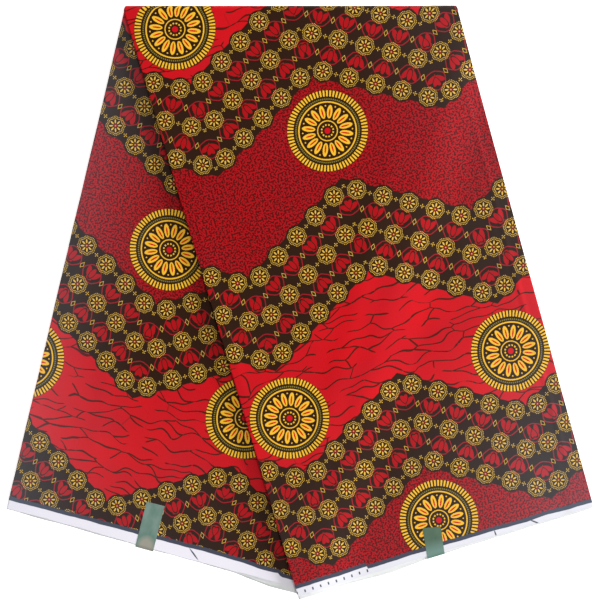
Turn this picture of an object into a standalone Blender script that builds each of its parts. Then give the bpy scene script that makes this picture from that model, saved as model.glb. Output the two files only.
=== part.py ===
"""A length of wax print cotton, folded lengthways into a strip of many plies, then once across,
with its two legs fanned apart on a flat surface. Metres, +Z up, the top fold towards +Y."""

from math import cos, pi, radians, sin

import bmesh
import bpy
from mathutils import Vector

# The strip of folded cloth
FOLD_WIDTH = 0.357  # the top fold, from its left corner to its right corner
LEG_THICKNESS = 0.0068  # 16 plies of printed cotton with the air between them
LEG_GAP = 0.0006  # between the two legs where one lies on the other
BEND_FLATNESS = 0.8  # how far the top fold stands out, as a share of its half height
CORNER_ROUNDING = 0.0015  # taken off each end of the top fold

# Each leg's two sides, from the top fold down. Lean is in degrees, positive to the right.
LEG_SIDES = {
    # leg: ((left length, left lean), (right length, right lean))
    "front": ((0.6540, 16.55), (0.5505, 15.35)),
    "back": ((0.5480, -13.3), (0.6430, -15.4)),
}

# The front leg comes down from the back leg to the surface past the back leg's right side.
STEP_START = 0.008
STEP_WIDTH = 0.052

# The two plies that show, and the plies between them
PLY_WALL = 0.0012
PLY_GAP = 0.00035
PLY_EDGE_ROUNDING = 0.0004

# Hidden plies in bundles, from the front face inwards. Left and right say how far a bundle's folds
# stand out at the strip's sides. The rest say how far its selvedges pass the outer plies' at each
# leg's end: all along it, and how much more where the hidden plies peek out.
BUNDLE_COLUMNS = ("left", "right", "front", "front_peek", "back", "back_peek")
HIDDEN_BUNDLES = (
    (0.0004, -0.0003, 0.0002, 0.0016, -0.0002, 0.0006),
    (-0.0006, 0.0005, -0.0006, 0.0042, -0.0007, 0.0020),
    (0.0003, -0.0006, 0.0004, 0.0024, 0.0003, 0.0003),
    (-0.0002, 0.0004, -0.0008, 0.0048, -0.0005, 0.0026),
    (0.0005, 0.0001, 0.0002, 0.0030, 0.0004, 0.0010),
)
PEEKS = {
    # leg: (share of the way across at the middle of the peek, half its width as a share)
    "front": (0.22, 0.19),
    "back": (0.92, 0.14),
}
GROOVE_DEPTH = 0.0011  # of the grooves between the bundles
LIP = 0.0004  # how far the hidden plies' faces pass the outer plies' selvedges

# Bare labels, stuck on each leg's face and turned down over its selvedge edge
LABEL_THICKNESS = 0.0005
LABEL_TURN_DOWN = 0.0009
LABELS = {
    # leg: (share of the way across at the selvedge, width, length, shift of the upper end to the right)
    "front": (0.468, 0.0204, 0.0320, 0.0024),
    "back": (0.475, 0.0194, 0.0478, 0.0),
}

CELLS_ACROSS = 14
LEG_RINGS = (0.0, 0.05, 0.12, 0.2, 0.29, 0.38, 0.47, 0.56, 0.65, 0.74, 0.83, 0.91, 0.965, 1.0)
BEND_CELLS = 8

LIFT = LEG_THICKNESS + LEG_GAP
BEND_RADIUS = LEG_THICKNESS + LEG_GAP / 2


def side_point(leg, side, share):
    """A point in plan on a leg's side, in the fold's own frame: its left corner is the origin."""
    length, lean = LEG_SIDES[leg][side]
    return Vector((
        side * FOLD_WIDTH + share * length * sin(radians(lean)),
        -share * length * cos(radians(lean)),
    ))


def fold_corner():
    """The fold's left corner, placed so that the origin is at the middle of the part's footprint."""
    corners = [side_point(leg, side, share) for leg in LEG_SIDES for side in (0, 1) for share in (0, 1)]
    xs = [corner.x for corner in corners]
    low_y = min(corner.y for corner in corners) - LIP - GROOVE_DEPTH
    high_y = BEND_FLATNESS * BEND_RADIUS
    return Vector((-(min(xs) + max(xs)) / 2, -(low_y + high_y) / 2))


FOLD_CORNER = fold_corner()


def plan_point(leg, across, down, out_side=0.0, out_end=0.0):
    """A point of a leg in plan. across runs from 0 to 1, down from the fold at 0 to the selvedge at 1,
    and out_side and out_end move it past the strip's nearer side and past the selvedge."""
    left = side_point(leg, 0, down)
    right = side_point(leg, 1, down)
    side_way = (right - left).normalized() * (1 if across > 0.5 else -1)
    middle_lean = radians((LEG_SIDES[leg][0][1] + LEG_SIDES[leg][1][1]) / 2)
    end_way = Vector((sin(middle_lean), -cos(middle_lean)))
    return FOLD_CORNER + left.lerp(right, across) + side_way * out_side + end_way * out_end


def front_leg_base(point):
    """Height of the front leg's underside: on the back leg, then down to the surface beside it."""
    top = FOLD_CORNER + side_point("back", 1, 0)
    along = (FOLD_CORNER + side_point("back", 1, 1) - top).normalized()
    away = Vector((-along.y, along.x)).dot(point - top)
    share = min(max((away - STEP_START) / STEP_WIDTH, 0.0), 1.0)
    return LIFT * (1 - share * share * (3 - 2 * share))


def leg_point(leg, across, down, depth, out_side=0.0, out_end=0.0):
    """A point of a leg. depth runs from 0 on the outer ply's face to LEG_THICKNESS on the inner ply's."""
    plan = plan_point(leg, across, down, out_side, out_end)
    if leg == "front":
        return Vector((plan.x, plan.y, front_leg_base(plan) + LEG_THICKNESS - depth))
    return Vector((plan.x, plan.y, depth))


def bend_point(across, angle, depth, out_side=0.0):
    """A point of the top fold. angle runs from +90 degrees on the front leg to -90 on the back leg."""
    radius = BEND_RADIUS - depth
    plan = plan_point("back", across, 0.0, out_side)
    drawn_in = CORNER_ROUNDING * cos(angle) ** 2 * (1 - 2 * across)
    return Vector((
        plan.x + drawn_in,
        plan.y + BEND_FLATNESS * radius * cos(angle),
        BEND_RADIUS + radius * sin(angle),
    ))


def strip_rings():
    """The strip's rings, from the front leg's selvedge over the top fold to the back leg's: each is
    a leg and a share of the way down it, or an angle round the fold."""
    front = [("front", down) for down in reversed(LEG_RINGS)]
    bend = [("bend", pi / 2 - pi * step / BEND_CELLS) for step in range(1, BEND_CELLS)]
    back = [("back", down) for down in LEG_RINGS]
    return front + bend + back


def ring_point(ring, across, depth, out_side=0.0, out_end=0.0):
    place, value = ring
    if place == "bend":
        return bend_point(across, value, depth, out_side)
    return leg_point(place, across, value, depth, out_side, out_end)


def cloth_material(name, colour, roughness):
    material = bpy.data.materials.new(name)
    material.use_nodes = True
    shader = material.node_tree.nodes["Principled BSDF"]
    shader.inputs["Base Color"].default_value = (*colour, 1)
    shader.inputs["Roughness"].default_value = roughness
    shader.inputs["Metallic"].default_value = 0.0
    return material


def lattice_solid(name, point, counts, material):
    """A closed solid with six sides, each a grid of triangles. point(i, j, k) gives its points, with i
    across the strip, j along it and k inwards. Each cell is split the same way, so that the faces of
    neighbouring plies follow each other."""
    form = bmesh.new()
    made = {}

    def vertex(steps):
        if steps not in made:
            made[steps] = form.verts.new(point(*steps))
        return made[steps]

    for fixed in range(3):
        first, second = (axis for axis in range(3) if axis != fixed)
        for level in (0, counts[fixed]):
            for one in range(counts[first]):
                for two in range(counts[second]):
                    corners = []
                    for step_one, step_two in ((0, 0), (1, 0), (1, 1), (0, 1)):
                        steps = [0, 0, 0]
                        steps[fixed] = level
                        steps[first] = one + step_one
                        steps[second] = two + step_two
                        corners.append(vertex(tuple(steps)))
                    form.faces.new((corners[0], corners[1], corners[2]))
                    form.faces.new((corners[0], corners[2], corners[3]))
    bmesh.ops.recalc_face_normals(form, faces=form.faces)
    mesh = bpy.data.meshes.new(name)
    form.to_mesh(mesh)
    form.free()
    mesh.materials.append(material)
    mesh.shade_smooth()
    mesh.set_sharp_from_angle(angle=radians(50))
    part = bpy.data.objects.new(name, mesh)
    bpy.context.collection.objects.link(part)
    return part


def outer_ply(name, first_depth, material):
    """One of the two plies that show, from selvedge to selvedge, with rounded edges."""
    rings = strip_rings()

    def point(i, j, k):
        at_side = i in (0, CELLS_ACROSS) and k == 1
        at_end = j in (0, len(rings) - 1) and k == 1
        return ring_point(
            rings[j],
            i / CELLS_ACROSS,
            first_depth + PLY_WALL * k / 2,
            PLY_EDGE_ROUNDING if at_side else 0.0,
            PLY_EDGE_ROUNDING if at_end else 0.0,
        )

    return lattice_solid(name, point, (CELLS_ACROSS, len(rings) - 1, 2), material)


def peek(leg, across):
    """How far the hidden plies peek out past the face ply at this place, from 0 to 1."""
    middle, half_width = PEEKS[leg]
    away = min(abs(across - middle) / half_width, 1.0)
    return cos(away * pi / 2) ** 2


def hidden_layers(material):
    """The plies between the two outer ones as one solid, layered at its sides and its ends."""
    rings = strip_rings()
    rings = [rings[0]] + rings + [rings[-1]]
    first_depth = PLY_WALL + PLY_GAP
    height = LEG_THICKNESS - 2 * first_depth
    levels = 2 * len(HIDDEN_BUNDLES)

    def bundle(k):
        return dict(zip(BUNDLE_COLUMNS, HIDDEN_BUNDLES[k // 2]))

    def out_side(i, k):
        if i not in (0, CELLS_ACROSS):
            return 0.0
        if k % 2 == 0:
            return -GROOVE_DEPTH
        return bundle(k)["left" if i == 0 else "right"]

    def out_end(i, j, k):
        if j not in (0, len(rings) - 1):
            return 0.0
        if k % 2 == 0:
            return LIP
        leg = "front" if j == 0 else "back"
        reach = bundle(k)
        return LIP + GROOVE_DEPTH + reach[leg] + reach[leg + "_peek"] * peek(leg, i / CELLS_ACROSS)

    def point(i, j, k):
        return ring_point(
            rings[j], i / CELLS_ACROSS, first_depth + height * k / levels, out_side(i, k), out_end(i, j, k)
        )

    return lattice_solid("hidden_layers", point, (CELLS_ACROSS, len(rings) - 1, levels), material)


def label(leg, material):
    """A bare label that lies on a leg's face and turns down over its selvedge edge."""
    across_middle, width, length, shift = LABELS[leg]
    leg_width = (side_point(leg, 1, 1) - side_point(leg, 0, 1)).length
    leg_length = (LEG_SIDES[leg][0][0] + LEG_SIDES[leg][1][0]) / 2
    clear = PLY_GAP + PLY_EDGE_ROUNDING
    # Down the label: the share of the leg, the way past its edge, and the way down from its face.
    courses = [(1 - length / leg_length * (1 - step / 3), 0.0, 0.0) for step in range(4)]
    courses.append((1.0, clear, 0.0))
    courses.append((1.0, clear, LABEL_TURN_DOWN))

    def point(i, j, k):
        share, past, turned = courses[j]
        aside = width * (i / 2 - 0.5) + shift * (1 - share) * leg_length / length
        across = across_middle + aside / leg_width
        past += k * LABEL_THICKNESS * (past > 0)
        rise = PLY_GAP + k * LABEL_THICKNESS - (turned and turned + PLY_GAP + k * LABEL_THICKNESS)
        lifted = leg_point(leg, across, share, 0.0 if leg == "front" else LEG_THICKNESS, 0.0, past)
        return lifted + Vector((0.0, 0.0, rise))

    return lattice_solid(leg + "_label", point, (2, len(courses) - 1, 1), material)


def main():
    for leftover in list(bpy.data.objects):
        bpy.data.objects.remove(leftover)
    printed = cloth_material("wax_printed_cotton", (0.42, 0.03, 0.04), 0.62)
    folded = cloth_material("folded_cotton_edges", (0.30, 0.03, 0.03), 0.75)
    film = cloth_material("label_film", (0.10, 0.19, 0.16), 0.4)
    outer_ply("front_face_ply", 0.0, printed)
    outer_ply("back_face_ply", LEG_THICKNESS - PLY_WALL, printed)
    hidden_layers(folded)
    for leg in LABELS:
        label(leg, film)


main()
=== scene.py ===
# %% [markdown]
# A folded length of wax print cotton. A shop folds such a length lengthways into a strip of sixteen plies,
# then once across, and lays it flat with its two legs fanned apart. This lesson dresses the plain solids
# of that form: it rebuilds the plies as thin sheets of cloth, prints them with a procedural pattern, and
# photographs them from straight above. The first cell loads the solids, which stay where they are.

# %% The frame
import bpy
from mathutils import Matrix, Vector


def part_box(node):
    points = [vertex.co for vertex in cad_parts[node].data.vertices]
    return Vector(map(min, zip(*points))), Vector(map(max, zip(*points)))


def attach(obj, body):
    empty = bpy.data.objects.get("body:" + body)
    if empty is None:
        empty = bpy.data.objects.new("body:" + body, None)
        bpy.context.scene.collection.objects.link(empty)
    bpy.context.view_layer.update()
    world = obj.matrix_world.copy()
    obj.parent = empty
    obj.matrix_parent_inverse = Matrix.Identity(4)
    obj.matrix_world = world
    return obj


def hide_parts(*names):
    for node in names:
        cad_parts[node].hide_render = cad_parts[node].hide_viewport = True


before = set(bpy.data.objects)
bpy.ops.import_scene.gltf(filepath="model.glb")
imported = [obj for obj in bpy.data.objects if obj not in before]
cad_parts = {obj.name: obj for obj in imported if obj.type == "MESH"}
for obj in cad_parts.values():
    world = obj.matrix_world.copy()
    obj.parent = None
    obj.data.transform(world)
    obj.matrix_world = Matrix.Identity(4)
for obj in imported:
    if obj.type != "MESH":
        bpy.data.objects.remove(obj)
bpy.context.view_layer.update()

# %% [markdown]
# All sizes come first, in metres. The strip's plan is two legs that meet at the top fold. Each leg is set
# out from its two long sides, which lean outwards. The places are read off the solids' own box, so that the
# sheets land on them.

# %% Sizes of the folded strip
from math import cos, pi, radians, sin, tan

import bpy
import numpy as np
from mathutils import Vector

FOLD_WIDTH = 0.357
STRIP_WIDTH = 0.340
LEG_THICKNESS = 0.0068
LEG_GAP = 0.0006  # between the two legs
BEND_FLATNESS = 0.8  # how far the top fold reaches past the legs, as a share of its radius
CORNER_ROUNDING = 0.0015  # how far the top fold's two ends are drawn in
LEG_SIDES = {
    # leg: ((left length, left lean in degrees), (right length, right lean))
    "front": ((0.6540, 16.55), (0.5505, 15.35)),
    "back": ((0.5480, -13.3), (0.6430, -15.4)),
}
STEP_START = 0.008  # past the back leg's right side the front leg comes down to the surface
STEP_WIDTH = 0.052
PLIES = 16
CLOTH = 0.00028  # thickness of one ply
CUT_WIDTH = 1.215  # of the cloth, from selvedge to selvedge

LIFT = LEG_THICKNESS + LEG_GAP
BEND_RADIUS = LEG_THICKNESS + LEG_GAP / 2
PITCH = LEG_THICKNESS / PLIES
PLY_ROUNDING = 0.0004  # of the solid plies' edges

face_low, face_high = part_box("front_face_ply")
back_length, back_lean = LEG_SIDES["back"][0]
FOLD_X = face_low[0] + PLY_ROUNDING - back_length * sin(radians(back_lean))
FOLD_Y = face_high[1] - BEND_FLATNESS * BEND_RADIUS
print("fold corner at", round(FOLD_X, 4), round(FOLD_Y, 4), "ply pitch", round(PITCH * 1000, 3), "mm")

# %% [markdown]
# The camera looks straight down, as the photographer did, from far enough away that the legs' edges stay
# straight. Blender measures the lens against the picture's long side, which is its height here.

# %% Camera
PICTURE_HEIGHT = 600  # pixels
METRES_PER_PIXEL = 0.0010745
PICTURE_MIDDLE = (-0.0028, 0.0014)
CAMERA_HEIGHT = 4.0
SENSOR = 36.0  # millimetres

camera = bpy.data.objects.new("camera", bpy.data.cameras.new("camera"))
bpy.context.scene.collection.objects.link(camera)
camera.data.sensor_width = SENSOR
camera.data.lens = SENSOR * CAMERA_HEIGHT / (PICTURE_HEIGHT * METRES_PER_PIXEL)
camera.location = (*PICTURE_MIDDLE, CAMERA_HEIGHT)
bpy.context.scene.camera = camera
print("lens", round(camera.data.lens, 1), "mm")

# %% [markdown]
# The photograph has no ground at all, so the table here is a light table: it glows a little, which keeps it
# white under the cloth's shadows. A soft light from the right stands low enough that the upper leg's edge
# shades the lower leg beside it. A weak one hangs over the lower right and lifts the print there.

# %% Table and lights
TABLE_SIZE = 20.0
TABLE_HEIGHT = -0.0002  # level with the cloth's underside
LIGHTS = {
    # name: (place, width in metres, watts)
    "right_light": ((4.2, 1.2, 1.42), 1.85, 345),
    "overhead_light": ((0.54, -0.34, 2.2), 0.5, 18),
}
ROOM_LIGHT = 0.51

bpy.ops.mesh.primitive_plane_add(size=TABLE_SIZE, location=(0, 0, TABLE_HEIGHT))
table_top = bpy.context.object
table_top.name = "table_top"


def soft_light(name, place, size, power):
    """Add a square area light that faces the cloth's middle."""
    light = bpy.data.objects.new(name, bpy.data.lights.new(name, "AREA"))
    bpy.context.scene.collection.objects.link(light)
    light.data.size = size
    light.data.energy = power
    light.location = place
    light.rotation_euler = (-Vector(place)).to_track_quat("-Z", "Y").to_euler()


for light_name, light_settings in LIGHTS.items():
    soft_light(light_name, *light_settings)
world = bpy.data.worlds.new("soft_room")
bpy.context.scene.world = world
world.use_nodes = True
world.node_tree.nodes["Background"].inputs["Color"].default_value = (1.0, 1.0, 1.0, 1)
world.node_tree.nodes["Background"].inputs["Strength"].default_value = ROOM_LIGHT
bpy.context.scene.view_settings.view_transform = "Standard"

# %% [markdown]
# Every sheet is set out on the same two maps. The first takes a place across and down a leg to a point of
# the plan. The second gives the height there: the back leg lies on the table, and the front leg lies on it
# and comes down beside it in a soft step. Numpy works on whole grids of points at once.


# %% The strip's plan and height
def side_points(leg, side, down):
    """Points in plan on a leg's left (0) or right (1) side, down from the fold at 0 to the selvedge at 1."""
    side_length, lean = LEG_SIDES[leg][side]
    return np.stack([
        FOLD_X + side * FOLD_WIDTH + down * side_length * sin(radians(lean)),
        FOLD_Y - down * side_length * cos(radians(lean)),
    ], axis=-1)


def plan_points(leg, x, down, past_end=0.0):
    """Plan points for x metres across the strip, which may pass its sides, and past_end metres past the
    selvedge."""
    left, right = side_points(leg, 0, down), side_points(leg, 1, down)
    way = (right - left) / np.linalg.norm(right - left, axis=-1, keepdims=True)
    across = np.clip(x / STRIP_WIDTH, 0, 1)
    beyond = x - across * STRIP_WIDTH
    lean = radians((LEG_SIDES[leg][0][1] + LEG_SIDES[leg][1][1]) / 2)
    end_way = np.array([sin(lean), -cos(lean)])
    return (left + (right - left) * across[..., None] + way * beyond[..., None]
            + end_way * np.broadcast_to(past_end, across.shape)[..., None])


def smooth_step(value):
    """From 0 to 1 as the value does, but with soft ends."""
    share = np.clip(value, 0, 1)
    return share * share * (3 - 2 * share)


def away_from_side(leg, side, plan):
    """Distance in plan to the right of the line along a leg's side."""
    top, bottom = side_points(leg, side, np.array(0.0)), side_points(leg, side, np.array(1.0))
    along = (bottom - top) / np.linalg.norm(bottom - top)
    return (plan - top) @ np.array([-along[1], along[0]])


def leg_base(leg, plan):
    """Height of a leg's underside."""
    if leg == "back":
        return np.zeros(plan.shape[:-1])
    return LIFT * (1 - smooth_step((away_from_side("back", 1, plan) - STEP_START) / STEP_WIDTH))


print("front leg's step", round(LIFT * 1000, 1), "mm over", round(STEP_WIDTH * 1000), "mm")

# %% [markdown]
# Pressed cloth is never quite flat. Its face has long, faint swells, and a few pressed creases: along the
# right side, where the turned-under end shows through, over the back leg's hidden right side, and near the
# fold and the selvedges. The swells are a few slow waves, and the creases a short table. Both fade out
# towards the top fold, and on the back leg where the front leg lies on it. They also fade to nothing at
# the underside, which stays flat.

# %% Swells and creases
SWELLS = (
    # wave length across and down in metres, phase, height
    (0.210, 0.330, 0.4, 0.00022),
    (0.150, -0.240, 2.1, 0.00016),
    (-0.095, 0.170, 4.0, 0.00012),
    (0.062, 0.110, 1.2, 0.00006),
)
CREASE_COLUMNS = ("leg", "across_1", "down_1", "across_2", "down_2", "width", "height")
CREASES = (
    # where it starts and ends, as shares of the leg, then metres
    ("front", 0.956, 0.04, 0.956, 0.99, 0.0024, 0.00060),
    ("front", 0.780, 0.17, 0.060, 0.90, 0.0120, 0.00100),
    ("front", 0.905, 0.42, 0.915, 0.93, 0.0040, 0.00016),
    ("front", 0.830, 0.30, 0.790, 0.62, 0.0080, 0.00025),
    ("front", 0.030, 0.30, 0.020, 0.72, 0.0050, 0.00022),
    ("front", 0.120, 0.10, 0.300, 0.04, 0.0070, 0.00030),
    ("front", 0.600, 0.07, 0.930, 0.10, 0.0080, 0.00025),
    ("front", 0.300, 0.97, 0.620, 0.93, 0.0070, 0.00022),
    ("back", 0.040, 0.25, 0.030, 0.80, 0.0050, 0.00022),
    ("back", 0.180, 0.50, 0.240, 0.90, 0.0080, 0.00028),
    ("back", 0.420, 0.84, 0.700, 0.93, 0.0070, 0.00022),
)
CREASE_TAPER = 0.2  # share of a crease's length over which each end of it fades
FADE_SHARE = 0.05  # share of a leg's length over which the relief fades out at the fold
COVER_FADE = 0.025  # metres over which it fades out beside the front leg


def crease_height(leg, plan):
    """Height of all of a leg's creases."""
    total = np.zeros(plan.shape[:-1])
    for row in CREASES:
        crease = dict(zip(CREASE_COLUMNS, row))
        if crease["leg"] != leg:
            continue
        start, end = (
            plan_points(leg, np.array(crease[a] * STRIP_WIDTH), np.array(crease[d]))
            for a, d in (("across_1", "down_1"), ("across_2", "down_2"))
        )
        crease_length = np.linalg.norm(end - start)
        way = (end - start) / crease_length
        along = (plan - start) @ way / crease_length
        aside = (plan - start) @ np.array([-way[1], way[0]])
        ends = smooth_step(along / CREASE_TAPER) * smooth_step((1 - along) / CREASE_TAPER)
        total += crease["height"] * ends * np.exp(-((aside / crease["width"]) ** 2))
    return total


def relief(leg, plan, down):
    """How far a leg's face stands out from flat."""
    waves = sum(
        height * (1 + np.sin(2 * pi * (plan[..., 0] / across + plan[..., 1] / long) + phase))
        for across, long, phase, height in SWELLS
    )
    stands_out = (waves + crease_height(leg, plan)) * smooth_step(down / FADE_SHARE)
    if leg == "back":
        stands_out = stands_out * smooth_step(-away_from_side("front", 0, plan) / COVER_FADE)
    return stands_out


print(len(CREASES), "creases,", len(SWELLS), "swells")

# %% [markdown]
# A ply is a course of points across the strip, carried along rings from the front leg's selvedge, over the
# top fold, to the back leg's selvedge. Depth counts from the front leg's face inwards, so the outermost ply
# runs over the fold's outside and the innermost round its inside. Each point also gets its place on the
# uncut cloth, in metres, and its height above the bare selvedge, as two UV maps for the print. The bare
# selvedge isn't printed to a straight line, so its width along each leg's end is listed, with the small
# step near the back leg's right side.

# %% A sheet from its courses
RINGS = {"fine": 108, "coarse": 32}
BEND_RINGS = 14  # round the top fold
END_CROWDING = 0.06  # how much closer together rings stand at both ends of a leg
FACE_WANDER = 0.00012  # how far the side folds of the two faces wander, and those of the hidden plies
HIDDEN_WANDER = 0.00035
WANDER_DECAY = 0.004  # metres from the fold over which the wander dies out
END_ZONE = 0.03  # share of a leg's length over which a selvedge comes to its own reach
INNER_RELIEF = 0.5  # share of the face's relief that the plies under it have
INNER_HEIGHT = 0.94  # they lie a little closer together too, clear of the face
CLOTH_SMOOTHING = 60  # degrees, the sharpest edge that is shaded smooth
WHITE_WIDTHS = {
    # leg: shares across, and the bare selvedge's width there in metres
    "front": ((0.0, 0.28, 0.50, 0.72, 0.78, 0.85, 0.92, 1.0),
              (0.0054, 0.0058, 0.0056, 0.0053, 0.0046, 0.0060, 0.0045, 0.0042)),
    "back": ((0.0, 0.18, 0.42, 0.66, 0.80, 0.86, 0.915, 0.926, 0.932, 1.0),
             (0.0091, 0.0093, 0.0107, 0.0121, 0.0112, 0.0092, 0.0099, 0.0103, 0.0071, 0.0068)),
}


def spread(count):
    """Shares from 0 to 1, closer together at both ends."""
    even = np.linspace(0, 1, count + 1)
    return even - END_CROWDING * np.sin(2 * pi * even)


def side_wander(x, depth, along):
    """The folds at the strip's sides wander in and out a little, each in its own way."""
    fold = np.round(depth / PITCH)
    wave = np.sin(2 * pi * (along * (1.3 + 0.17 * fold) + 0.37 * fold))
    wave = wave + 0.5 * np.sin(9.1 * along + 2.3 * fold)
    near_side = np.where(x < STRIP_WIDTH / 2, np.exp(-np.maximum(x, 0) / WANDER_DECAY),
                         -np.exp(-np.maximum(STRIP_WIDTH - x, 0) / WANDER_DECAY))
    on_a_face = (fold <= 1) | (fold >= PLIES - 1)
    return near_side * wave * np.where(on_a_face, FACE_WANDER, HIDDEN_WANDER)


def place_rings(x, depth, front_detail, back_detail, end_shift, inner):
    """Points, distance along the strip from each selvedge, for courses of x and depth, a row a ring.
    end_shift(leg, across) says how far the selvedge passes the leg's end."""
    across = np.clip(x / STRIP_WIDTH, 0, 1)
    lengths = {leg: (1 - across) * sides[0][0] + across * sides[1][0] for leg, sides in LEG_SIDES.items()}
    bend_path = pi * BEND_FLATNESS * (BEND_RADIUS - depth)
    rows, from_front, from_back = [], [], []

    def leg_rings(leg, downs, other):
        reach = end_shift(leg, across)
        for down in downs:
            past = reach * smooth_step((down - 1 + END_ZONE) / END_ZONE)
            wander = x + side_wander(x, depth, down if leg == "back" else -down)
            plan = plan_points(leg, wander, np.full(x.shape, down), past)
            inwards = depth if leg == "back" else LEG_THICKNESS - depth
            lifted = relief(leg, plan, down) * np.clip(inwards / LEG_THICKNESS, 0, 1)
            if inner:
                settled = smooth_step(down / FADE_SHARE) * smooth_step((1 - down) / FADE_SHARE)
                inwards = inwards * (1 - (1 - INNER_HEIGHT) * settled)
                lifted = lifted * INNER_RELIEF
            height = leg_base(leg, plan) + inwards + lifted
            rows.append(np.stack([plan[..., 0], plan[..., 1], height], axis=-1))
            near = (1 - down) * lengths[leg] + reach - past
            far = down * lengths[leg] + bend_path + lengths[other]
            from_front.append(near if leg == "front" else far)
            from_back.append(far if leg == "front" else near)

    leg_rings("front", spread(RINGS[front_detail])[::-1], "back")
    for step in range(1, BEND_RINGS):
        angle = pi / 2 - pi * step / BEND_RINGS
        plan = plan_points("back", x + side_wander(x, depth, 0.0), np.zeros(x.shape))
        drawn_in = CORNER_ROUNDING * cos(angle) ** 2 * (1 - 2 * across)
        radius = BEND_RADIUS - depth
        rows.append(np.stack([
            plan[..., 0] + drawn_in,
            plan[..., 1] + BEND_FLATNESS * radius * cos(angle),
            BEND_RADIUS + radius * sin(angle),
        ], axis=-1))
        passed = bend_path * step / BEND_RINGS
        from_front.append(lengths["front"] + passed)
        from_back.append(lengths["back"] + bend_path - passed)
    leg_rings("back", spread(RINGS[back_detail]), "front")
    return np.array(rows), np.array(from_front), np.array(from_back)


def grid_mesh(name, points, maps):
    """A mesh of quads through rows of points, with UV maps given as pairs of grids."""
    rings, across = points.shape[:2]
    number = np.arange(rings * across).reshape(rings, across)
    faces = np.stack([number[:-1, :-1], number[:-1, 1:], number[1:, 1:], number[1:, :-1]], axis=-1)
    mesh = bpy.data.meshes.new(name)
    mesh.from_pydata(points.reshape(-1, 3).tolist(), [], faces.reshape(-1, 4).tolist())
    corners = np.array([loop.vertex_index for loop in mesh.loops])
    for map_name, values in maps.items():
        layer = mesh.uv_layers.new(name=map_name)
        pairs = np.stack([part.reshape(-1)[corners] for part in values], axis=-1)
        layer.data.foreach_set("uv", pairs.reshape(-1))
    return mesh


def thin_sheet(name, mesh, wall, smooth_under):
    """Give a grid its thickness, half to each side, and smooth shading."""
    sheet = bpy.data.objects.new(name, mesh)
    bpy.context.scene.collection.objects.link(sheet)
    bpy.ops.object.select_all(action="DESELECT")
    sheet.select_set(True)
    bpy.context.view_layer.objects.active = sheet
    thickness = sheet.modifiers.new("thickness", "SOLIDIFY")
    thickness.thickness = wall
    thickness.offset = 0
    bpy.ops.object.modifier_apply(modifier="thickness")
    bpy.ops.object.shade_smooth_by_angle(angle=radians(smooth_under))
    print(name, len(sheet.data.polygons) * 2, "triangles")
    return sheet


def cloth_sheet(name, course, u, details, end_shift, v_from="front", inner=False):
    """A thin closed sheet through a course's rings, with the UV maps cloth and selvedge."""
    points, from_front, from_back = place_rings(course[:, 0], course[:, 1], *details, end_shift, inner)
    v = from_front if v_from == "front" else CUT_WIDTH - from_back
    across = course[:, 0] / STRIP_WIDTH
    above_white = np.minimum(
        from_front - np.interp(across, *WHITE_WIDTHS["front"]),
        from_back - np.interp(across, *WHITE_WIDTHS["back"]),
    )
    maps = {
        "cloth": (np.broadcast_to(u, v.shape), v),
        "selvedge": (above_white, np.broadcast_to(course[:, 0], v.shape)),
    }
    return thin_sheet(name, grid_mesh(name, points, maps), CLOTH, CLOTH_SMOOTHING)


print("rings on a leg", RINGS)

# %% [markdown]
# The ply on the front leg comes first. Its right side is the length's cut end, turned under so that no
# frayed edge shows, and its left side is the first of the lengthways folds. It carries on a little way
# under itself there, so that the seam with the hidden plies can't be seen.

# %% The front face ply
HEM = 0.027  # width of the turned-under end
HEM_STEPS = (0, 2, 6, 12, 19, 26)  # millimetres from its edge
HEM_LIFT = 0.00034  # of the face over the hem
HEM_GAP = 0.00006  # by which the hem lies deeper than the face beside it
LIFT_START = 0.003  # the lift starts this far before the hem's edge, and is full after this much more
LIFT_LENGTH = 0.004
RETURN = 0.012  # how far a face ply carries on under itself
RETURN_STEPS = (0.003, RETURN)
SIDE_INSET = 0.0002  # of the faces' side folds
SIDE_CROWDING = 0.11  # how much closer together points stand near both sides
FRONT_STEPS = 104  # across the strip
TURN_STEPS = 5


def turn(x, first_depth, second_depth, side):
    """Points round a fold at x between two depths. side is -1 on the left and 1 on the right."""
    angles = np.linspace(0, pi, TURN_STEPS + 1)
    middle, radius = (first_depth + second_depth) / 2, (second_depth - first_depth) / 2
    return [(x + side * abs(radius) * np.sin(a), middle - radius * np.cos(a)) for a in angles]


def waver(sizes):
    """How far a sheet's selvedge passes each leg's end: a constant reach, and a slow and a quick wave."""
    def shift(leg, across):
        reach, slow, quick, phase = sizes[leg]
        angle = 2 * pi * across
        return reach + slow * np.sin(1.4 * angle + phase) + quick * np.sin(7 * angle + 2 * phase)
    return shift


def across_run(start, end, count):
    """Places across the strip, closer together near both of its sides."""
    even = np.linspace(0, 1, count + 1)
    crowded = even - SIDE_CROWDING * np.sin(2 * pi * even) * np.cos(pi * even) ** 2
    return start + (end - start) * crowded


face_depth = PITCH / 2
hem_edge = STRIP_WIDTH - HEM
run_x = across_run(SIDE_INSET, STRIP_WIDTH - SIDE_INSET, FRONT_STEPS)
run_depth = face_depth - HEM_LIFT * smooth_step((run_x - hem_edge + LIFT_START) / LIFT_LENGTH)
front_course = [(hem_edge + 0.001 * step, face_depth + HEM_GAP) for step in HEM_STEPS]
front_course += turn(STRIP_WIDTH - SIDE_INSET, face_depth + HEM_GAP, face_depth - HEM_LIFT, 1)
front_course += list(zip(run_x, run_depth))[::-1][1:-1]
front_course += turn(SIDE_INSET, face_depth, face_depth + PITCH, -1)
front_course += [(x, face_depth + PITCH) for x in RETURN_STEPS]
front_course = np.array(front_course)
print(len(front_course), "points across the front ply")

# %% [markdown]
# The distance walked along that course is the place on the uncut cloth. It starts past the strip's width
# at the hem, and runs on below nothing at the left fold. Wax prints show on both faces alike.


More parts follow.
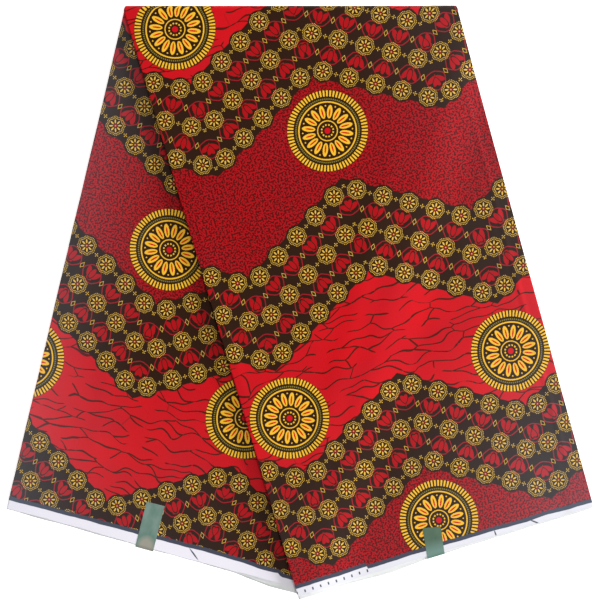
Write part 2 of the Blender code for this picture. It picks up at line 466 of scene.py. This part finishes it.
# %% Its place on the cloth
def walked(course):
    """The distance walked along a course, at each of its points."""
    steps = np.linalg.norm(np.diff(course, axis=0), axis=1)
    return np.concatenate([[0], np.cumsum(steps)])


front_u = STRIP_WIDTH + HEM - walked(front_course)
front_cloth = cloth_sheet(
    "front_face_cloth", front_course, front_u, ("fine", "coarse"),
    waver({"front": (0.0, 0.0004, 0.00015, 0.5), "back": (0.0, 0.0003, 0.0001, 2.0)}),
)

# %% [markdown]
# The ply on the back leg is made in the same way. It lies round the inside of the top fold, and its left
# side is the last of the lengthways folds.

# %% The back face ply
RIGHT_INSET = 0.001  # of the ply's cut right side, which the front leg hides
BACK_STEPS = 96

back_depth = LEG_THICKNESS - PITCH / 2
back_run = across_run(SIDE_INSET, STRIP_WIDTH - RIGHT_INSET, BACK_STEPS)
back_course = [(x, back_depth) for x in back_run[::-1][:-1]]
back_course += turn(SIDE_INSET, back_depth, back_depth - PITCH, -1)
back_course += [(x, back_depth - PITCH) for x in RETURN_STEPS]
back_course = np.array(back_course)
back_u = -(PLIES - 1) * STRIP_WIDTH + walked(back_course)
back_cloth = cloth_sheet(
    "back_face_cloth", back_course, back_u, ("coarse", "fine"),
    waver({"front": (0.0006, 0.0005, 0.0001, 1.0), "back": (0.0, 0.0005, 0.00015, 3.0)}), "back",
)

# %% [markdown]
# The fourteen plies between them are one sheet that zigzags from side to side, as the folder laid it. Each
# turn stands out by its own amount, which gives the layered sides, and each ply's selvedge has its own
# reach, so that white edges peek out under the face plies where they do in the photograph.

# %% The hidden plies
# A number for each ply: how far its far fold stands out, how far its selvedge passes the leg's end, and
# its share of what peeks out.
TURN_REACH = (0.0, -0.0009, -0.0003, -0.0014, -0.0005, -0.0008, -0.0003, -0.0017,
              -0.0006, -0.0004, -0.0012, -0.0004, -0.0007, -0.0003, -0.0011, 0.0)
END_REACH = (0.0, 0.0003, 0.0010, 0.0016, 0.0002, 0.0012, 0.0019, 0.0006,
             0.0014, 0.0021, 0.0004, 0.0011, 0.0017, 0.0005, 0.0012, 0.0)
PEEK_SHARES = (0.0, 0.2, 0.5, 0.35, 0.8, 0.3, 1.0, 0.6, 0.25, 0.9, 0.45, 0.7, 0.4, 0.65, 0.2, 0.0)
PEEKS = {
    # leg: share of END_REACH there, shares across, and the most that a ply peeks out there in metres
    "front": (1.0, (0.0, 0.04, 0.11, 0.20, 0.26, 0.31, 0.36, 0.45, 0.60, 1.0),
              (0.0028, 0.0028, 0.0018, 0.0026, 0.0040, 0.0040, 0.0024, 0.0008, 0.0003, 0.0003)),
    "back": (0.5, (0.0, 0.74, 0.79, 0.82, 0.855, 0.885, 1.0),
             (0.0002, 0.0002, 0.0010, 0.0022, 0.0026, 0.0050, 0.0048)),
}
RAGGED = 0.0004  # how far each ply's selvedge waves
INNER_PLACES = (0.012, *np.linspace(0.05, 0.95, 22), 0.988)  # shares across
HIDDEN_START = RETURN + 0.0015  # just past the face plies' returns

hidden_course = []
for ply in range(2, PLIES):
    depth = (ply - 0.5) * PITCH
    leftwards = ply % 2 == 1
    places = [(STRIP_WIDTH * share, depth) for share in INNER_PLACES]
    if ply in (2, PLIES - 1):
        places[0] = (HIDDEN_START, depth)
    hidden_course += places[::-1] if leftwards else places
    if ply < PLIES - 1:
        at, side = (0.0, -1) if leftwards else (STRIP_WIDTH, 1)
        hidden_course += turn(at + side * TURN_REACH[ply], depth, depth + PITCH, side)
hidden_course = np.array(hidden_course)
hidden_u = -HIDDEN_START - walked(hidden_course)
hidden_plies = np.clip(np.round(hidden_course[:, 1] / PITCH + 0.5).astype(int), 1, PLIES) - 1


def hidden_ends(leg, across):
    """Each hidden ply's selvedge has its own reach, and more of it where the plies peek out."""
    reach_share, places, peeks = PEEKS[leg]
    ragged = RAGGED * np.sin(2 * pi * across * (2.2 + 0.3 * hidden_plies) + 1.9 * hidden_plies)
    own_reach = np.array(END_REACH)[hidden_plies] * reach_share
    return own_reach + np.interp(across, places, peeks) * np.array(PEEK_SHARES)[hidden_plies] + ragged


hidden_cloth = cloth_sheet(
    "hidden_plies_cloth", hidden_course, hidden_u, ("coarse", "coarse"), hidden_ends, inner=True,
)

# %% [markdown]
# Two bare stickers hold the ends of the length together at the selvedges. Each is a thin film that follows
# the face under it and turns down over the edge, so its points come from the same maps as the cloth's.

# %% The labels
FILM = 0.00012  # thickness
FILM_SMOOTHING = 40  # degrees
FILM_POINTS = (13, 21)  # across it and up it
LABELS = {
    # leg: (share across at the selvedge, width, length, the upper end's shift to the right and its skew)
    "front": (0.466, 0.0198, 0.0282, 0.0038, 0.0040),
    "back": (0.4735, 0.0208, 0.0474, 0.0, 0.0),
}
TURNED_OVER = ((0.0030, 0.0017), (0.0024, 0.0009), (0.0013, 0.0002))  # past the selvedge, and down


def film_label(leg):
    """A sticker's film, from its upper end down the leg's face and over the selvedge."""
    middle, width, long, shift, skew = LABELS[leg]
    leg_length = (LEG_SIDES[leg][0][0] + LEG_SIDES[leg][1][0]) / 2
    aside = np.linspace(-0.5, 0.5, FILM_POINTS[0]) * width
    clear = CLOTH / 2 + FILM
    # Up from the selvedge, past it, and down from the face.
    courses = [(0.0, past, fall) for past, fall in TURNED_OVER]
    courses += [(up, 0.0, 0.0) for up in np.linspace(0.0, long, FILM_POINTS[1])]
    rows = []
    for up, past, fall in courses:
        x = middle * STRIP_WIDTH + aside + shift * up / long
        skewed_up = up - skew * aside / width * up / long
        plan = plan_points(leg, x, 1 - skewed_up / leg_length, past)
        face = leg_base(leg, plan) + LEG_THICKNESS - PITCH / 2 + relief(leg, plan, 1.0)
        rows.append(np.stack([plan[..., 0], plan[..., 1], face + clear - fall], axis=-1))
    points = np.array(rows)
    columns, lines = np.meshgrid(aside + width / 2, [course[0] for course in courses])
    mesh = grid_mesh(leg + "_film", points, {"film": (columns, lines)})
    return thin_sheet(leg + "_film", mesh, FILM, FILM_SMOOTHING)


films = {leg: film_label(leg) for leg in LABELS}

# %% [markdown]
# The print is worked out by the shader, so its sums are long. A small class lets them be written as Python:
# it wraps one socket of a material, and adding or multiplying two of them adds the Math node that does it.


# %% Sums with sockets
class Signal:
    """One socket in a material's node tree."""

    def __init__(self, tree, socket=None):
        self.tree = tree
        self.socket = socket

    def node(self, kind, settings=None, inputs=None, output=0):
        """Add a node: its type, its settings, the values or links of its sockets, and the output kept."""
        new_node = self.tree.nodes.new(kind)
        for name, value in (settings or {}).items():
            setattr(new_node, name, value)
        for name, value in (inputs or {}).items():
            if isinstance(value, Signal):
                self.tree.links.new(value.socket, new_node.inputs[name])
            else:
                new_node.inputs[name].default_value = value
        return Signal(self.tree, new_node.outputs[output])

    def maths(self, operation, *others, clamp=False):
        values = dict(enumerate((self, *others)))
        return self.node("ShaderNodeMath", {"operation": operation, "use_clamp": clamp}, values)

    def __add__(self, other):
        return self.maths("ADD", other)

    def __sub__(self, other):
        return self.maths("SUBTRACT", other)

    def __rsub__(self, other):
        return self.node("ShaderNodeMath", {"operation": "SUBTRACT"}, {0: other, 1: self})

    def __mul__(self, other):
        return self.maths("MULTIPLY", other)

    def __truediv__(self, other):
        return self.maths("DIVIDE", other)

    def __abs__(self):
        return self.maths("ABSOLUTE")


print("shader sums ready")

# %% [markdown]
# A printed motif is a set of distances turned into masks. These helpers do that: inside is 1 within an
# edge, line is 1 along a line, repeat folds a length into equal cells, and lay puts one colour on another.
# The last three read a UV map and set up a material.

# %% Drawing helpers
EDGE_SOFTNESS = 0.45  # millimetres over which one ink gives way to the next


def inside(distance, edge, softness=EDGE_SOFTNESS):
    """1 where a distance is less than the edge, 0 where it is more, and between them on the edge itself."""
    if isinstance(edge, Signal):
        return (edge - distance).maths("MULTIPLY_ADD", 1 / softness, 0.5, clamp=True)
    return distance.maths("MULTIPLY_ADD", -1 / softness, edge / softness + 0.5, clamp=True)


def line(distance, middle, width):
    return inside(abs(distance - middle), width / 2)


def either(*masks):
    result = masks[0]
    for mask in masks[1:]:
        result = result.maths("MAXIMUM", mask)
    return result


def repeat(value, period):
    """The signed distance to the middle of the cell it is in."""
    return value.maths("WRAP", period / 2, -period / 2)


def pair(x, y):
    return x.node("ShaderNodeCombineXYZ", None, {0: x, 1: y})


def length(x, y):
    return x.node("ShaderNodeVectorMath", {"operation": "LENGTH"}, {0: pair(x, y)}, output=1)


def oval(x, y, middle, half_sizes, turned=0.0):
    """Distance from an oval's middle, 1 on its edge. turned is its lean in degrees."""
    c, s = cos(radians(turned)), sin(radians(turned))
    dx, dy = x - middle[0], y - middle[1]
    if turned:
        dx, dy = dx * c + dy * s, dy * c - dx * s
    return length(dx / half_sizes[0], dy / half_sizes[1])


def lay(below, above, mask):
    return mask.node("ShaderNodeMix", {"data_type": "RGBA"}, {0: mask, 6: below, 7: above}, output=2)


def cloudy(x, y, size_x, size_y, shift, detail=1.0):
    """Soft random value about 0.5, in clouds of this size."""
    place = pair(x / size_x + shift, y / size_y - shift)
    settings = {"noise_dimensions": "2D"}
    return x.node("ShaderNodeTexNoise", settings, {"Vector": place, "Scale": 1.0, "Detail": detail})


def uv_place(material, map_name):
    """The two measures of a UV map, in millimetres."""
    start = Signal(material.node_tree)
    place = start.node("ShaderNodeUVMap", {"uv_map": map_name})
    return [start.node("ShaderNodeSeparateXYZ", None, {0: place}, output=k) * 1000 for k in range(2)]


def new_material(name, constants):
    """A material and its shader, with constants on some of the shader's sockets."""
    material = bpy.data.materials.new(name)
    material.use_nodes = True
    shader = material.node_tree.nodes["Principled BSDF"]
    for socket, value in constants.items():
        shader.inputs[socket].default_value = value
    return material, shader


def connect(shader, signals):
    """Link what varies to the shader's sockets."""
    for socket, signal in signals.items():
        signal.tree.links.new(signal.socket, shader.inputs[socket])


print("ink edges", EDGE_SOFTNESS, "mm soft")

# %% [markdown]
# The design is laid out in zigzag bands, as on many traditional wax prints: a black band with rows of
# flowers, then a red band, and so on. A zigzag comes from folding the cloth's width back and forth with
# ping-pong, then measuring across the leaning bands. Black bands have five rows, red bands are veined and
# speckled in turn.

# %% The print's layout, in millimetres
HALF_ZIGZAG = 126.0
BAND_LEAN = radians(30)
BAND_PERIOD = 188.0
BLACK_HALF_WIDTH = 45.0
ROW_PITCH = 18.4
MOTIFS_PER_HALF = 5
MOTIF_PITCH = HALF_ZIGZAG / cos(BAND_LEAN) / MOTIFS_PER_HALF
PRINT_SHIFT = (80.0, 62.0)

BLACK = (0.0205, 0.0064, 0.0016, 1)
BURNT_RED = (0.082, 0.0014, 0.0008, 1)
NAVY = (0.0440, 0.0480, 0.0720, 1)
RED = (0.492, 0.0024, 0.0064, 1)
DEEP_RED = (0.335, 0.0018, 0.0046, 1)
DULL_RED = (0.290, 0.0065, 0.0150, 1)
YELLOW = (0.740, 0.410, 0.022, 1)
DULL_YELLOW = (0.610, 0.372, 0.050, 1)
OLIVE = (0.170, 0.145, 0.025, 1)
# FRONT_WHITE and BACK_WHITE are one selvedge white; the front's is a darker copy, painted shade that offsets
# the stronger light on the front leg.
FRONT_WHITE = (0.630, 0.622, 0.674, 1)
BACK_WHITE = (0.700, 0.676, 0.742, 1)
# SHADED_WHITE is painted shade: the greyer white of the hidden plies' bare selvedges under the face plies.
SHADED_WHITE = (0.680, 0.690, 0.690, 1)


def print_layout(material):
    """The measures that every motif is drawn with."""
    u, v = uv_place(material, "cloth")
    folded = (u + PRINT_SHIFT[0]).maths("PINGPONG", HALF_ZIGZAG)
    across_bands = v * cos(BAND_LEAN) + folded * sin(BAND_LEAN) + PRINT_SHIFT[1]
    from_black = repeat(across_bands, BAND_PERIOD)
    return u, v, folded, across_bands, from_black


print("zigzag", 2 * HALF_ZIGZAG, "mm, motif pitch", round(MOTIF_PITCH, 1), "mm")

# %% [markdown]
# The yellow rows carry daisies. One wedge of a petal is drawn, and ping-pong on the angle repeats it
# eight times. A scalloped line and a rim of beads go round it, as a block cutter would finish it.


# %% Daisies
def daisy(x, y):
    """Masks of a daisy's yellow, red and black ground."""
    out = length(x, y)
    angle = y.maths("ARCTAN2", x)
    wedge = angle.maths("PINGPONG", pi / 8)
    petal = oval(out * wedge.maths("COSINE"), out * wedge.maths("SINE"), (4.7, 0.0), (2.15, 0.85))
    scallop = out - (angle * 8).maths("COSINE") * 0.45
    beads = inside((angle * 36).maths("COSINE") * -1, 0.0, 0.5) * line(scallop, 9.8, 0.9)
    yellow = either(inside(petal, 1.0, 0.25), line(scallop, 8.0, 0.55), beads, inside(out, 0.7))
    return yellow, line(out, 1.5, 0.6), inside(out, 12.4)


# %% [markdown]
# The red rows carry tulips in thin lobed frames. Only the right half is drawn, and the absolute value of x
# mirrors it.


# %% Tulips
def tulip(x, y):
    """Masks of a tulip's red and of the thin frame round it."""
    aside = abs(x)
    middle_petal = oval(aside, y, (0.0, 0.9), (2.5, 5.7))
    side_petal = oval(aside, y, (4.6, 0.6), (2.7, 5.9), -30)
    cup = oval(aside, y, (0.0, -5.4), (3.6, 1.7))
    red = either(
        inside(middle_petal, 1.0, 0.15),
        inside(side_petal, 1.0, 0.15) * (1 - inside(middle_petal, 1.32, 0.15)),
        inside(cup, 1.0, 0.2) * (1 - inside(middle_petal, 1.32, 0.15)),
    )
    lobes = length(aside / 1.16, y) - (y.maths("ARCTAN2", aside) * 6).maths("COSINE") * 0.35
    return red, line(lobes, 9.5, 0.9)


# %% [markdown]
# A large sunburst stands in the red bands, on every second corner of the zigzag. It is all rings: ticks,
# beads, sixteen petals and a seeded middle.


# %% Sunbursts
def sunburst(x, y):
    """Masks of a sunburst's yellow, red, olive and black ground."""
    out = length(x, y)
    angle = y.maths("ARCTAN2", x)
    ticks = inside((angle * 72).maths("COSINE") * -1, 0.15, 0.6)
    wedge = angle.maths("PINGPONG", pi / 16)
    petal_x, petal_y = out * wedge.maths("COSINE"), out * wedge.maths("SINE")
    petal = oval(petal_x, petal_y, (20.5, 0.0), (7.2, 2.9))
    vein = oval(petal_x, petal_y, (19.5, 0.0), (4.6, 0.8))
    small_wedge = (angle + pi / 16).maths("PINGPONG", pi / 16)
    seed = length(out * small_wedge.maths("COSINE") - 26.8, out * small_wedge.maths("SINE"))
    yellow = either(
        ticks * line(out, 40.0, 6.5),
        line(out, 30.8, 1.5),
        inside(petal, 1.0, 0.08) * (1 - inside(vein, 1.0, 0.2)),
        line(out, 10.6, 1.1),
        inside(seed, 0.8),
        inside((angle * 12).maths("COSINE") * -1, 0.1, 0.5) * line(out, 6.3, 1.6),
    )
    olive = inside((angle * 96).maths("COSINE") * -1, 0.3, 0.6) * line(out, 33.9, 1.6)
    red = either(inside(vein, 1.0, 0.2), inside(out, 3.2))
    return yellow, red, olive, inside(out, 43.6)


print("motifs: daisy, tulip, sunburst")

# %% [markdown]
# The red bands' fills are wax work of the plainest kind. Veins are the borders of long thin cells, which
# wander, fork, and taper out where a slow cloud is thin. The nearest two cells' middles give the distance to
# their border in true millimetres, so a vein is as thick along the cloth as across it. Borders that run too
# steeply are left out. Speckle is one fine noise, cut at a level.


# %% Fills of the red bands
VEIN_CELL = (42.0, 11.5)  # millimetres, along and across the veins
VEIN_WANDER = (24, 13)
VEIN_HALF_WIDTH = 0.78
THIN_CLOUD = 0.30  # the cloud's value at which a vein ends
STEEPEST_VEIN = 2.2  # rise over run
SPECKLE_LEVEL = 0.515


def veins(u, v):
    """Mask of dark branching veins."""
    wander_u = (cloudy(u, v, 36.0, 36.0, 9.1, 0.0) - 0.5) * VEIN_WANDER[0]
    wander_v = (cloudy(u, v, 24.0, 30.0, 4.7, 0.0) - 0.5) * VEIN_WANDER[1]
    place = pair((u + wander_u) / VEIN_CELL[0], (v + wander_v) / VEIN_CELL[1])
    first, second = (
        u.node("ShaderNodeTexVoronoi", {"voronoi_dimensions": "2D", "feature": feature},
               {"Vector": place, "Scale": 1.0}, output=2)
        for feature in ("F1", "F2")
    )
    between = first.node("ShaderNodeVectorMath", {"operation": "SUBTRACT"}, {0: second, 1: first})
    halfway = first.node("ShaderNodeVectorMath", {"operation": "ADD"}, {0: second, 1: first})
    halfway = halfway.node("ShaderNodeVectorMath", {"operation": "SCALE"}, {0: halfway, "Scale": 0.5})
    to_border = place.node("ShaderNodeVectorMath", {"operation": "SUBTRACT"}, {0: halfway, 1: place})
    ends = {0: to_border, 1: between}
    facing = between.node("ShaderNodeVectorMath", {"operation": "DOT_PRODUCT"}, ends, output=1)
    steep, flat = (
        abs(between.node("ShaderNodeSeparateXYZ", None, {0: between}, output=k)) / VEIN_CELL[k]
        for k in range(2)
    )
    distance = facing / length(steep, flat)
    strength = cloudy(u, v, 30.0, 14.0, 15.3, 0.0)
    half_width = ((strength - THIN_CLOUD) * 10).maths("MINIMUM", VEIN_HALF_WIDTH)
    return inside(distance, half_width, 0.4) * inside(steep / flat, STEEPEST_VEIN, 0.6)


def speckle(u, v):
    """Mask of small dark strokes."""
    grain = cloudy(u, v, 2.0, 1.9, 1.3, 0.6)
    return inside(grain * -1, -SPECKLE_LEVEL, 0.05)


print("fills: veins, speckle")

# %% [markdown]
# Now the inks go on in the order of a printer: red ground and its fills, black bands, flowers and
# sunbursts. Faint clouds in the red stand for uneven dye. The speckled red is a deeper one, and the small
# flowers' yellow is duller than the sunbursts'.


# %% The printed colour
UNEVEN_DYE = (0.9, 0.12)  # contrast of the dye's clouds, and the duller red's mean share
VEIN_INK = 0.90  # how densely the veins are inked
DOT_SPACING = 1.7
BURST_SHIFT = 4.0  # of a sunburst's middle, from the corner into its band


def printed_colour(material):
    """The place on the cloth and its colour, before the selvedge."""
    u, v, folded, across_bands, from_black = print_layout(material)
    lean_cos, lean_sin, lean_tan = cos(BAND_LEAN), sin(BAND_LEAN), tan(BAND_LEAN)

    red_band = (across_bands / BAND_PERIOD).maths("FLOOR")
    veined = (red_band * 0.5).maths("FRACT") * 2
    dye = cloudy(u, v, 70.0, 50.0, 8.8, 2.0)
    uneven = (dye - 0.5).maths("MULTIPLY_ADD", *UNEVEN_DYE, clamp=True)
    bright_ground = lay(lay(RED, DULL_RED, uneven), BLACK, veins(u, v) * VEIN_INK)
    deep_ground = lay(lay(DEEP_RED, DULL_RED, uneven), BURNT_RED, speckle(u, v))
    colour = lay(deep_ground, bright_ground, veined)

    row = (from_black / (2 * ROW_PITCH)).maths("ROUND").maths("MINIMUM", 1).maths("MAXIMUM", -1)
    daisy_y = from_black - row * (2 * ROW_PITCH)
    along = folded / lean_cos
    daisy_x = repeat(along - daisy_y * lean_tan - MOTIF_PITCH / 2, MOTIF_PITCH)
    daisy_yellow, daisy_red, daisy_ground = daisy(daisy_x, daisy_y)
    black = either(inside(abs(from_black), BLACK_HALF_WIDTH), daisy_ground)
    colour = lay(colour, BLACK, black)

    tulip_y = abs(from_black) - ROW_PITCH
    upper = from_black.maths("SIGN")
    tulip_x = repeat(along - tulip_y * upper * lean_tan, MOTIF_PITCH)
    tulip_red, tulip_frame = tulip(tulip_x, tulip_y)
    colour = lay(colour, DULL_RED, tulip_frame)
    colour = lay(colour, DEEP_RED, either(tulip_red, daisy_red))

    gap_x = abs(repeat(along - daisy_y * lean_tan, MOTIF_PITCH))
    gap_y = abs(daisy_y)
    dots = length(gap_x - DOT_SPACING, gap_y).maths("MINIMUM", length(gap_x, gap_y - DOT_SPACING))
    dots = dots.maths("MINIMUM", length(gap_x, gap_y))
    lozenge_x = abs(repeat(along - tulip_y * upper * lean_tan - MOTIF_PITCH / 2, MOTIF_PITCH))
    lozenge = lozenge_x + abs(tulip_y) * 0.6
    small_yellow = either(inside(dots, 0.55), line(lozenge, 2.0, 0.6)) * black
    colour = lay(colour, DULL_YELLOW, either(daisy_yellow, small_yellow))

    from_red = repeat(across_bands - BAND_PERIOD / 2, BAND_PERIOD)
    corner_x = folded * (1 - veined) + (HALF_ZIGZAG - folded) * veined
    slope = veined * 2 - 1
    corner_y = (from_red + slope * corner_x * lean_sin) / lean_cos - slope * BURST_SHIFT
    burst_yellow, burst_red, burst_olive, burst_ground = sunburst(corner_x, corner_y)
    colour = lay(colour, BLACK, burst_ground)
    colour = lay(colour, YELLOW, burst_yellow)
    colour = lay(colour, RED, burst_red)
    colour = lay(colour, OLIVE, burst_olive)
    return u, v, colour


print("inks laid in order")

# %% [markdown]
# The selvedge map holds the height above the bare selvedge and the place across the strip. A dark line ends
# the print there. A few stray strokes of ink cross the white, and a row of plain ticks stands on its deeper
# part.

# %% The selvedge
BACK_LEFT = (2 - PLIES) * STRIP_WIDTH * 1000  # where the back face's left side lies on the cloth
FRONT_LEG = 500.0  # what is nearer to the front leg's selvedge than this is on the front leg
DARK_LINE = 4.3
WAVINESS = 0.8  # of the dark line's edges
MARKED_EXTRA = 2.8  # the selvedge is this much deeper where the ticks are
MARKED_LENGTH = 82.0
TICK_PITCH = 9.0
TICK_HALF_SIZES = (0.8, 1.5)
TICK_DEPTH = 4.6  # below the dark line's lower edge
STROKE_HALF_WIDTH = 0.75
STROKES = (
    # leg, place across, distance below the print and half length in millimetres, lean in degrees
    ("back", 216.5, 5.4, 8.0, -38.0),
    ("front", 228.0, 3.2, 3.4, -86.0),
    ("front", 274.0, 3.4, 6.8, -40.0),
)


def with_selvedge(material, u, v, colour):
    """Put the white selvedge, its dark line and its marks over the print."""
    above, across = uv_place(material, "selvedge")
    on_front = inside(v, FRONT_LEG, 1.0)
    on_front_face = inside(u * -1, 1.0, 0.5)
    on_back_face = inside(u, BACK_LEFT - 1, 0.5)
    marked = inside(across, MARKED_LENGTH, 0.4) * on_front * on_front_face
    above = above - marked * MARKED_EXTRA + (cloudy(u, v, 14.0, 14.0, 2.2) - 0.5) * WAVINESS
    colour = lay(colour, NAVY, inside(above, DARK_LINE))
    ticks = inside(abs(repeat(across, TICK_PITCH)), TICK_HALF_SIZES[0])
    marks = ticks * inside(abs(above + TICK_DEPTH), TICK_HALF_SIZES[1]) * marked
    for leg, place_across, below, half_long, lean in STROKES:
        half_sizes = (half_long, STROKE_HALF_WIDTH)
        stroke = inside(oval(across, above, (place_across, -below), half_sizes, lean), 1.0)
        marks = either(marks, stroke * (on_front * on_front_face if leg == "front" else 1 - on_front))
    # FRONT_WHITE is painted shade: a darker copy of BACK_WHITE for the front face.
    # The hidden plies' bare selvedges take SHADED_WHITE, painted shade where they lie under the face plies.
    bare = lay(lay(SHADED_WHITE, FRONT_WHITE, on_front_face), BACK_WHITE, on_back_face)
    bare = lay(bare, NAVY, marks)
    return lay(colour, bare, inside(above, 0.0))


print("dark line", DARK_LINE, "mm,", len(STROKES), "strokes")

# %% [markdown]
# Towards its outer sides and its low ends, and most of all at the lower right corner, the cloth looks a
# shade paler and cooler under glare. A pale colour laid thinly over the print there is painted sheen.

# %% Painted sheen on the sides
PAINTED_SHEEN = (0.55, 0.70, 0.82, 1)
SHEEN_FADES = {
    # the middle of each fade, on the cloth, and its length, in millimetres
    "front_side": (248.0, 183.0),
    "front_corner": (215.0, 150.0),
    "front_end": (110.0, 220.0),
    "back_side": (BACK_LEFT - 67.0, 134.0),
    "back_corner": (BACK_LEFT - 170.0, 340.0),
    "back_end": (1125.0, 180.0),
}
FRONT_SHEEN_SHARES = (0.018, 0.036, 0.012)  # of the haze at the front face's side, corner and end
BACK_SHEEN_SHARES = (0.044, 0.030)  # at the back face's side and corner


def painted_sheen_on_sides(u, v, colour):
    """Lay painted sheen over the front face's right side and low end and the back face's left side and low
    end.
    """
    on_back_face = inside(u, BACK_LEFT, 0.5)
    front_side = 1 - inside(u, *SHEEN_FADES["front_side"])
    front_end = inside(v, *SHEEN_FADES["front_end"])
    front_corner = (1 - inside(u, *SHEEN_FADES["front_corner"])) * front_end
    back_side = (1 - inside(u, *SHEEN_FADES["back_side"])) * on_back_face
    back_corner = (1 - inside(v, *SHEEN_FADES["back_end"])) * (1 - inside(u, *SHEEN_FADES["back_corner"])) * on_back_face
    side, corner, end = FRONT_SHEEN_SHARES
    share = front_side * front_side * side + front_corner * corner + front_end * end
    side, corner = BACK_SHEEN_SHARES
    share = share + back_side * back_side * side + back_corner * corner
    return lay(colour, PAINTED_SHEEN, share)


print("haze", PAINTED_SHEEN[:3])

# %% [markdown]
# Printed cotton is matt, with a fine plain weave, and the mill's glaze gives it a faint coat. The weave is a
# bump of two sets of threads under a slower unevenness. Sheen gives the soft glow at low angles.

# %% The cloth's material
THREAD = 0.55  # millimetres from one thread to the next
WEAVE = {"Strength": 0.12, "Distance": 0.0002}
FINISH = {
    "Specular IOR Level": 0.06,
    "Coat Weight": 0.02,
    "Coat Roughness": 0.44,
    "Sheen Weight": 0.02,
    "Sheen Roughness": 0.5,
}


def wax_print(name):
    """The printed cotton, from its place on the cloth to its finish."""
    material, shader = new_material(name, FINISH)
    u, v, colour = printed_colour(material)
    colour = painted_sheen_on_sides(u, v, with_selvedge(material, u, v, colour))
    threads = (u * (2 * pi / THREAD)).maths("SINE") * (v * (2 * pi / THREAD)).maths("SINE")
    slubs = cloudy(u, v, 0.9, 9.0, 4.4) + cloudy(u, v, 9.0, 0.9, 7.7)
    height = threads * 0.25 + slubs
    bump = height.node("ShaderNodeBump", None, {**WEAVE, "Height": height})
    connect(shader, {"Base Color": colour, "Normal": bump, "Roughness": slubs * 0.10 + 0.60})
    print(name, len(material.node_tree.nodes), "nodes")
    return material


cotton = wax_print("printed_cotton")
for cloth in (front_cloth, back_cloth, hidden_cloth):
    cloth.data.materials.append(cotton)

# %% [markdown]
# The labels are half-matt green film, paler where they have been rubbed and in a patch at the low end, where
# they go over the white edge. The light table is plain white.


# %% Film and table
PATCH_MIDDLE = (11.5, 0.0)  # millimetres from the label's left side, and up from the selvedge
PATCH_SHARE = 0.85


def label_film(name, fresh, rubbed_pale, low_pale, patch_sizes, patch_softness):
    """A sticker's film in three colours: where fresh, where rubbed, and in a patch at its low end."""
    material, shader = new_material(name, {"Specular IOR Level": 0.2})
    x, y = uv_place(material, "film")
    rubbed = cloudy(x, y, 14.0, 22.0, 3.1, 2.0)
    low_end = inside(oval(x, y, PATCH_MIDDLE, patch_sizes), 1.0, patch_softness)
    colour = lay(fresh, rubbed_pale, inside(rubbed * -1, -0.5, 0.30))
    colour = lay(colour, low_pale, low_end * PATCH_SHARE)
    connect(shader, {"Base Color": colour, "Roughness": rubbed * 0.2 + 0.28})
    return material


FILM_GREENS = {
    # leg: fresh, rubbed, low end
    "front": ((0.032, 0.080, 0.043, 1), (0.056, 0.112, 0.066, 1), (0.118, 0.212, 0.185, 1)),
    "back": ((0.092, 0.166, 0.134, 1), (0.142, 0.212, 0.180, 1), (0.280, 0.255, 0.212, 1)),
}
LOW_PATCHES = {
    # leg: half sizes in millimetres, softness
    "front": ((60.0, 9.5), 1.4),
    "back": ((8.5, 10.5), 0.6),
}
for leg, film in films.items():
    film.data.materials.append(label_film(leg + "_film", *FILM_GREENS[leg], *LOW_PATCHES[leg]))

light_table, _ = new_material("light_table", {
    "Base Color": (0.90, 0.90, 0.90, 1),
    "Roughness": 0.9,
    "Emission Color": (1.0, 1.0, 1.0, 1),
    "Emission Strength": 0.65,
})
table_top.data.materials.append(light_table)
print("materials", [m.name for m in bpy.data.materials])

# %% [markdown]
# Each sheet takes over from its solid, which stays hidden for the physics, and rides on the one body.

# %% Riding on the frame
stands_for = {
    "front_face_ply": front_cloth,
    "back_face_ply": back_cloth,
    "hidden_layers": hidden_cloth,
    "front_label": films["front"],
    "back_label": films["back"],
}
for node, piece in stands_for.items():
    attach(piece, "root")
    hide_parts(node)
